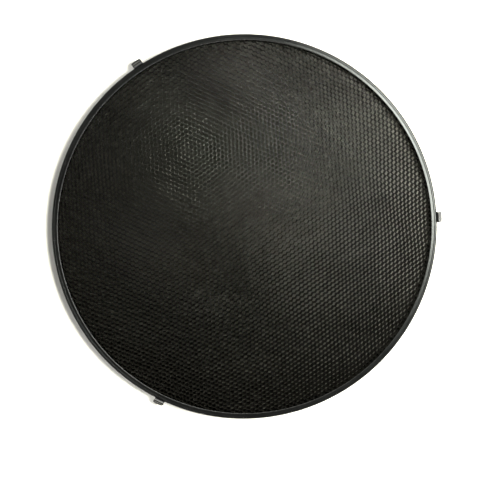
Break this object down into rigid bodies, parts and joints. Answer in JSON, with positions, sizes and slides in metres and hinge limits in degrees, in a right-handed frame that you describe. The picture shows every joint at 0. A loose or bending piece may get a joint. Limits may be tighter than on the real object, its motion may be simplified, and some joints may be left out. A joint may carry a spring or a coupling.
{
  "type": "honeycomb grid",
  "caption": "Round honeycomb light grid: foil core in a rolled black channel ring, with sprung clips that hook over the rim of a large beauty dish.",
  "frame": {"origin": "on the ring's axis at the rear face, which the grid rests on", "axes": "+Z along the ring's axis out of the front face, +X through clip 1, +Y along clip 1's tangent"},
  "size_m": [0.7061, 0.695, 0.0301],
  "materials": {
    "ring_paint": "satin black powder coat on aluminium",
    "core_foil": "black coated foil, semi-gloss",
    "clip_steel": "blackened spring steel, gloss",
    "rivets": "blackened",
    "bare_aluminium": "mill"
  },
  "bodies": {
    "grid": {"ring_channel": "ring_paint", "seam_splice_plate": "bare_aluminium", "seam_rivets": "rivets", "core_ribbons_01": "core_foil", "core_ribbons_02": "core_foil", "core_ribbons_03": "core_foil", "core_ribbons_04": "core_foil", "core_ribbons_05": "core_foil", "core_ribbons_06": "core_foil", "core_ribbons_07": "core_foil", "core_ribbons_08": "core_foil", "core_ribbons_09": "core_foil", "core_ribbons_10": "core_foil", "core_ribbons_11": "core_foil", "core_ribbons_12": "core_foil", "core_ribbons_13": "core_foil", "core_ribbons_14": "core_foil", "core_ribbons_15": "core_foil", "core_ribbons_16": "core_foil", "core_ribbons_17": "core_foil", "core_ribbons_18": "core_foil", "core_ribbons_19": "core_foil", "clip_1_foot": "clip_steel", "clip_1_backing_plate": "bare_aluminium", "clip_1_rivets": "rivets", "clip_2_foot": "clip_steel", "clip_2_backing_plate": "bare_aluminium", "clip_2_rivets": "rivets", "clip_3_foot": "clip_steel", "clip_3_backing_plate": "bare_aluminium", "clip_3_rivets": "rivets"},
    "clip_1": {"clip_1_hook": "clip_steel"},
    "clip_2": {"clip_2_hook": "clip_steel"},
    "clip_3": {"clip_3_hook": "clip_steel"}
  },
  "joints": [
    {"name": "clip_1_flex", "type": "hinge", "parent": "grid", "child": "clip_1", "pos_m": [0.3479, 0, 0.0264], "axis": [0, -1, 0], "range_deg": [0, 18], "stiffness_Nm_per_rad": 0.2},
    {"name": "clip_2_flex", "type": "hinge", "parent": "grid", "child": "clip_2", "pos_m": [-0.17395, 0.30129, 0.0264], "axis": [0.866, 0.5, 0], "range_deg": [0, 18], "stiffness_Nm_per_rad": 0.2},
    {"name": "clip_3_flex", "type": "hinge", "parent": "grid", "child": "clip_3", "pos_m": [-0.17395, -0.30129, 0.0264], "axis": [-0.866, 0.5, 0], "range_deg": [0, 18], "stiffness_Nm_per_rad": 0.2}
  ]
}
